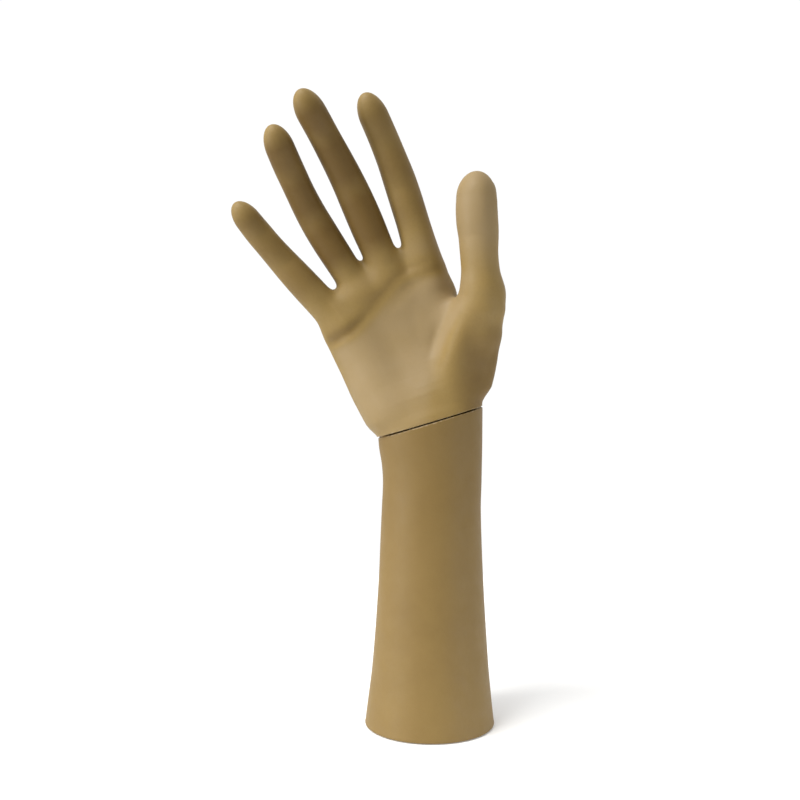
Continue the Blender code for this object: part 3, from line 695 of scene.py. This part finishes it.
# ---------------------------------------------------------------- materials
class Looks:
    """A node material, built up step by step."""

    def __init__(self, name):
        self.made = bpy.data.materials.new(name)
        self.made.use_nodes = True
        self.tree = self.made.node_tree
        self.shader = self.tree.nodes["Principled BSDF"]
        self.place = self.tree.nodes.new("ShaderNodeTexCoord").outputs["Object"]
        self.bumps = None

    def node(self, kind, **settings):
        n = self.tree.nodes.new(kind)
        for key, value in settings.items():
            if hasattr(n, key):
                setattr(n, key, value)
            else:
                n.inputs[key].default_value = value
        return n

    def link(self, a, b):
        self.tree.links.new(a, b)

    def mapped(self, scale=(1, 1, 1), turn=(0, 0, 0), move=(0, 0, 0)):
        n = self.node("ShaderNodeMapping")
        n.inputs["Scale"].default_value = scale
        n.inputs["Rotation"].default_value = turn
        n.inputs["Location"].default_value = move
        self.link(self.place, n.inputs["Vector"])
        return n.outputs["Vector"]

    def noise(self, size_mm, detail=4.0, rough=0.55, where=None, distort=0.0):
        n = self.node("ShaderNodeTexNoise")
        n.inputs["Scale"].default_value = 1000.0 / size_mm
        n.inputs["Detail"].default_value = detail
        n.inputs["Roughness"].default_value = rough
        n.inputs["Distortion"].default_value = distort
        self.link(where if where is not None else self.place, n.inputs["Vector"])
        return n.outputs["Fac"]

    def ramp(self, value, *stops):
        n = self.node("ShaderNodeValToRGB")
        e = n.color_ramp.elements
        while len(e) < len(stops):
            e.new(0.5)
        for item, (at, colour) in zip(e, stops):
            item.position = at
            item.color = (*colour, 1.0) if len(colour) == 3 else colour
        self.link(value, n.inputs["Fac"])
        return n.outputs["Color"]

    def span(self, value, a, b, c, d):
        n = self.node("ShaderNodeMapRange")
        for key, v in (("From Min", a), ("From Max", b), ("To Min", c), ("To Max", d)):
            n.inputs[key].default_value = v
        self.link(value, n.inputs["Value"])
        return n.outputs["Result"]

    def mix(self, share, a, b, kind="MIX"):
        n = self.node("ShaderNodeMix", data_type="RGBA", blend_type=kind)
        sockets = {"f": n.inputs[0], "a": n.inputs[6], "b": n.inputs[7]}
        for key, value in (("f", share), ("a", a), ("b", b)):
            if isinstance(value, (int, float)):
                sockets[key].default_value = value
            elif isinstance(value, tuple):
                sockets[key].default_value = (*value, 1.0)
            else:
                self.link(value, sockets[key])
        return n.outputs[2]

    def math(self, kind, a, b=None):
        n = self.node("ShaderNodeMath", operation=kind)
        for socket, value in zip(n.inputs, (a, b)):
            if value is None:
                continue
            if isinstance(value, (int, float)):
                socket.default_value = value
            else:
                self.link(value, socket)
        return n.outputs[0]

    def colour(self, socket):
        self.link(socket, self.shader.inputs["Base Color"])

    def rough(self, socket):
        self.link(socket, self.shader.inputs["Roughness"])

    def bump(self, height, mm, strength=1.0):
        n = self.node("ShaderNodeBump")
        n.inputs["Strength"].default_value = strength
        n.inputs["Distance"].default_value = mm * MM
        self.link(height, n.inputs["Height"])
        if self.bumps is not None:
            self.link(self.bumps, n.inputs["Normal"])
        self.bumps = n.outputs["Normal"]
        self.link(self.bumps, self.shader.inputs["Normal"])


def put(obj, made):
    obj.data.materials.clear()
    obj.data.materials.append(made)


def skin(name, edge_heights, low, high, with_painted_shading=False, painted_shade_up=None):
    """Sprayed satin paint: soft cloudiness, fine orange peel, rubbed rims; on the hand, painted light and shade from a
    mesh attribute, and on the forearm, painted shade growing towards its top.
    """
    m = Looks(name)
    cloud = m.noise(46.0, 3.0, 0.5)
    patch = m.noise(15.0, 4.0, 0.6)
    speck = m.noise(1.3, 2.0, 0.5)
    base = m.ramp(cloud, (0.30, low), (0.70, high))
    base = m.mix(m.span(patch, 0.35, 0.7, 0.0, 0.35), base, (0.254, 0.167, 0.044))
    base = m.mix(m.span(speck, 0.45, 0.75, 0.0, 0.16), base, (0.20, 0.122, 0.031))
    if with_painted_shading:
        # painted light and shade carried by the mesh attribute: darker towards dark brown, paler towards pale tan, with
        # a little random patchiness
        painted_shading = m.node("ShaderNodeAttribute", attribute_name="painted_shading").outputs["Fac"]
        painted_shading = m.math("ADD", painted_shading, m.span(patch, 0.3, 0.7, -0.06, 0.06))
        base = m.mix(m.span(painted_shading, 0.5, 0.0, 0.0, 0.9), base, (0.134, 0.073, 0.011))
        base = m.mix(m.span(painted_shading, 0.5, 1.0, 0.0, 0.8), base, (0.316, 0.229, 0.119))
    if painted_shade_up:
        # painted shade: the forearm grows darker towards its top, under the hand
        up = m.node("ShaderNodeSeparateXYZ")
        m.link(m.place, up.inputs[0])
        base = m.mix(m.span(up.outputs["Z"], painted_shade_up[0], painted_shade_up[1], 0.0, 0.5), base, (0.150, 0.086, 0.016))
    # paint rubbed thin along the rims
    split = m.node("ShaderNodeSeparateXYZ")
    m.link(m.mapped(turn=(0, SLOPE, 0)), split.inputs[0])
    ragged = m.noise(2.2, 4.0, 0.65)
    wear = None
    for low, high in edge_heights:
        near = m.span(split.outputs["Z"], low, high, 1.0, 0.0)
        one = m.span(m.math("MULTIPLY", near, ragged), 0.44, 0.66, 0.0, 0.45)
        wear = one if wear is None else m.math("MAXIMUM", wear, one)
    base = m.mix(wear, base, (0.50, 0.40, 0.27))
    m.colour(base)
    m.rough(m.span(m.noise(7.0, 5.0, 0.6), 0.3, 0.7, 0.52, 0.64))
    m.shader.inputs["Specular IOR Level"].default_value = 0.38 if with_painted_shading else 0.5
    m.bump(m.noise(1.6, 2.0, 0.5), 0.035)
    m.bump(m.noise(9.0, 3.0, 0.5), 0.10, 0.6)
    return m.made


height = float(WRIST @ UP) * MM
hand_paint = skin("hand_paint", ((height + 0.0009, height + 0.0030),), (0.250, 0.164, 0.047), (0.286, 0.190, 0.060), True)
# the forearm gets the same paint set darker than the hand's
arm_paint = skin("forearm_paint", ((height - 0.0004, height - 0.0022),), (0.206, 0.129, 0.031), (0.236, 0.150, 0.039), False, (-0.04, 0.165))
put(hand, hand_paint)
put(forearm, arm_paint)


def plywood(name, turn):
    """Raw plywood: face grain, and the plies in darker and paler bands on the edge."""
    m = Looks(name)
    split = m.node("ShaderNodeSeparateXYZ")
    m.link(m.mapped(turn=turn), split.inputs[0])
    grain_at = m.mapped(scale=(0.12, 1.0, 1.0), turn=turn)
    grain = m.noise(1.6, 6.0, 0.65, grain_at, 0.4)
    figure = m.noise(11.0, 4.0, 0.5, grain_at, 1.2)
    face = m.ramp(grain, (0.30, (0.36, 0.22, 0.105)), (0.68, (0.60, 0.42, 0.24)))
    face = m.mix(m.span(figure, 0.4, 0.65, 0.0, 0.45), face, (0.50, 0.33, 0.17))
    band = m.math("FRACT", m.math("DIVIDE", split.outputs["Z"], 0.0030))
    ply = m.span(m.math("ABSOLUTE", m.math("SUBTRACT", band, 0.5)), 0.20, 0.27, 0.0, 1.0)
    edge = m.mix(ply, (0.56, 0.39, 0.22), (0.30, 0.17, 0.075))
    edge = m.mix(m.span(m.noise(0.8, 4.0, 0.6), 0.3, 0.7, 0.0, 0.5), edge, (0.45, 0.29, 0.145))
    turned = m.node("ShaderNodeVectorRotate", rotation_type="EULER_XYZ")
    turned.inputs["Rotation"].default_value = turn
    m.link(m.node("ShaderNodeTexCoord").outputs["Normal"], turned.inputs["Vector"])
    facing = m.node("ShaderNodeSeparateXYZ")
    m.link(turned.outputs["Vector"], facing.inputs[0])
    flat = m.span(m.math("ABSOLUTE", facing.outputs["Z"]), 0.45, 0.65, 0.0, 1.0)
    m.colour(m.mix(flat, edge, face))
    m.rough(m.span(grain, 0.3, 0.7, 0.66, 0.84))
    m.bump(grain, 0.10, 0.7)
    return m.made


def steel(name, turn=(0, 0, 0), yellow=False):
    """Zinc plate, clear or yellow: faint tints, fine scuffs, dull spots."""
    m = Looks(name)
    tint = m.noise(6.0, 3.0, 0.5)
    scuff = m.noise(0.9, 5.0, 0.7, m.mapped(scale=(1.0, 1.0, 5.0), turn=turn))
    base = m.ramp(tint, (0.32, (0.52, 0.55, 0.60)), (0.5, (0.62, 0.63, 0.64)), (0.7, (0.66, 0.63, 0.55)))
    if yellow:
        base = m.ramp(tint, (0.32, (0.60, 0.47, 0.22)), (0.5, (0.66, 0.54, 0.29)), (0.7, (0.62, 0.50, 0.33)))
    base = m.mix(m.span(scuff, 0.52, 0.74, 0.0, 0.5), base, (0.36, 0.36, 0.37))
    m.colour(base)
    m.shader.inputs["Metallic"].default_value = 1.0
    m.rough(m.span(scuff, 0.3, 0.75, 0.26, 0.52))
    m.bump(scuff, 0.02, 0.6)
    return m.made


def plastic(name, turn):
    """Turned nylon: off-white, with fine tool rings about its axis."""
    m = Looks(name)
    split = m.node("ShaderNodeSeparateXYZ")
    m.link(m.mapped(turn=turn), split.inputs[0])
    rings = m.math("SINE", m.math("MULTIPLY", split.outputs["Z"], 2 * math.pi / 0.00045))
    dirt = m.noise(5.0, 4.0, 0.6)
    base = m.ramp(dirt, (0.35, (0.80, 0.78, 0.71)), (0.75, (0.66, 0.62, 0.52)))
    m.colour(m.mix(m.span(m.noise(0.7, 3.0, 0.5), 0.5, 0.8, 0.0, 0.25), base, (0.56, 0.52, 0.44)))
    m.rough(m.span(dirt, 0.3, 0.7, 0.36, 0.52))
    m.shader.inputs["Subsurface Weight"].default_value = 0.08
    m.shader.inputs["Subsurface Radius"].default_value = (0.002, 0.0018, 0.0014)
    m.bump(rings, 0.012, 0.5)
    return m.made


def dull(name, light, dark, size, rough, height, metal=0.0, stretch=(1, 1, 1)):
    m = Looks(name)
    grain = m.noise(size, 6.0, 0.65, m.mapped(scale=stretch))
    dust = m.noise(size * 6, 3.0, 0.5)
    base = m.ramp(grain, (0.3, dark), (0.7, light))
    m.colour(m.mix(m.span(dust, 0.5, 0.75, 0.0, 0.35), base, tuple(0.5 * (a + 0.25) for a in light)))
    m.shader.inputs["Metallic"].default_value = metal
    m.rough(m.span(grain, 0.3, 0.7, rough - 0.1, rough + 0.1))
    m.bump(grain, height, 0.8)
    return m.made


tilt = (0, SLOPE, 0)
wood_base, wood_wrist = plywood("plywood_base", (0, 0, 0.35)), plywood("plywood_wrist", tilt)
zinc_base, zinc_wrist = steel("zinc_base"), steel("zinc_wrist", tilt)
zinc_screw, zinc_screw_wrist = steel("zinc_screw", yellow=True), steel("zinc_screw_wrist", tilt, True)
nylon = plastic("turned_nylon", tilt)
rubber = dull("black_rubber", (0.045, 0.044, 0.042), (0.018, 0.018, 0.018), 0.5, 0.72, 0.03)
fibre = dull("red_fibre_board", (0.36, 0.10, 0.06), (0.20, 0.045, 0.03), 0.7, 0.78, 0.04, 0.0, (0.25, 1, 1))
iron = dull("sand_cast_iron", (0.15, 0.148, 0.15), (0.06, 0.06, 0.062), 1.2, 0.66, 0.14, 0.7)
for node, made in {
    "base_plate": wood_base,
    "base_ring": wood_base,
    "forearm_wrist_board": wood_wrist,
    "hand_wrist_board": wood_wrist,
    "ballast_washer": zinc_base,
    "ballast_screw": zinc_base,
    "base_screw_1": zinc_screw,
    "base_screw_2": zinc_screw,
    "base_screw_3": zinc_screw,
    "wrist_socket": zinc_wrist,
    "hand_flange": zinc_wrist,
    "pivot_bolt": zinc_wrist,
    "spring_washer": zinc_wrist,
    "lock_nut": zinc_wrist,
    "socket_screw_1": zinc_screw_wrist,
    "socket_screw_2": zinc_screw_wrist,
    "socket_screw_3": zinc_screw_wrist,
    "hand_screw_1": zinc_screw_wrist,
    "hand_screw_2": zinc_screw_wrist,
    "hand_screw_3": zinc_screw_wrist,
    "swivel_plug": nylon,
    "plug_o_ring": rubber,
    "friction_washer": fibre,
    "ballast_weight": iron,
}.items():
    put(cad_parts[node], made)


# ------------------------------------------------------------------- studio
def floor_mesh():
    bm = bmesh.new()
    bmesh.ops.create_circle(bm, cap_ends=True, cap_tris=False, segments=128, radius=0.46)
    mesh = bpy.data.meshes.new("floor")
    bm.to_mesh(mesh)
    bm.free()
    obj = bpy.data.objects.new("floor", mesh)
    obj.location.z = -0.0004
    scene.collection.objects.link(obj)
    m = Looks("floor_white")
    m.colour(m.ramp(m.noise(60.0, 3.0, 0.5), (0.3, (0.84, 0.84, 0.835)), (0.7, (0.87, 0.87, 0.865))))
    m.shader.inputs["Roughness"].default_value = 0.9
    m.shader.inputs["Emission Color"].default_value = (1, 1, 1, 1)
    m.shader.inputs["Emission Strength"].default_value = 0.16
    mesh.materials.append(m.made)


floor_mesh()


def lamp(name, at, aim, size, power, colour=(1, 1, 1)):
    light = bpy.data.lights.new(name, "AREA")
    light.shape = "RECTANGLE"
    light.size, light.size_y = size
    light.energy = power
    light.color = colour
    obj = bpy.data.objects.new(name, light)
    obj.location = at
    obj.rotation_euler = (Vector(aim) - Vector(at)).to_track_quat("-Z", "Y").to_euler()
    scene.collection.objects.link(obj)


lamp("key", (-1.12, -0.92, 2.35), (0.0, 0.0, 0.2), (1.3, 1.3), 62.0, (1.0, 0.99, 0.97))
lamp("strip", (-1.35, -0.62, 0.55), (0.0, 0.0, 0.22), (0.35, 1.2), 13.0)

lamp("low", (0.42, -0.30, 0.05), (0.0, 0.0, 0.06), (0.2, 0.1), 0.35)

world = bpy.data.worlds.new("studio")
world.use_nodes = True
scene.world = world
tree = world.node_tree
sky = tree.nodes["Background"]
way = tree.nodes.new("ShaderNodeSeparateXYZ")
tree.links.new(tree.nodes.new("ShaderNodeTexCoord").outputs["Generated"], way.inputs[0])
fade = tree.nodes.new("ShaderNodeMapRange")
fade.interpolation_type = "SMOOTHSTEP"
for key, value in (("From Min", -0.9), ("From Max", 0.7), ("To Min", 0.28), ("To Max", 1.02)):
    fade.inputs[key].default_value = value
tree.links.new(way.outputs["Y"], fade.inputs["Value"])
tree.links.new(fade.outputs["Result"], sky.inputs["Strength"])
sky.inputs["Color"].default_value = (1, 1, 1, 1)
scene.view_settings.view_transform = "Standard"
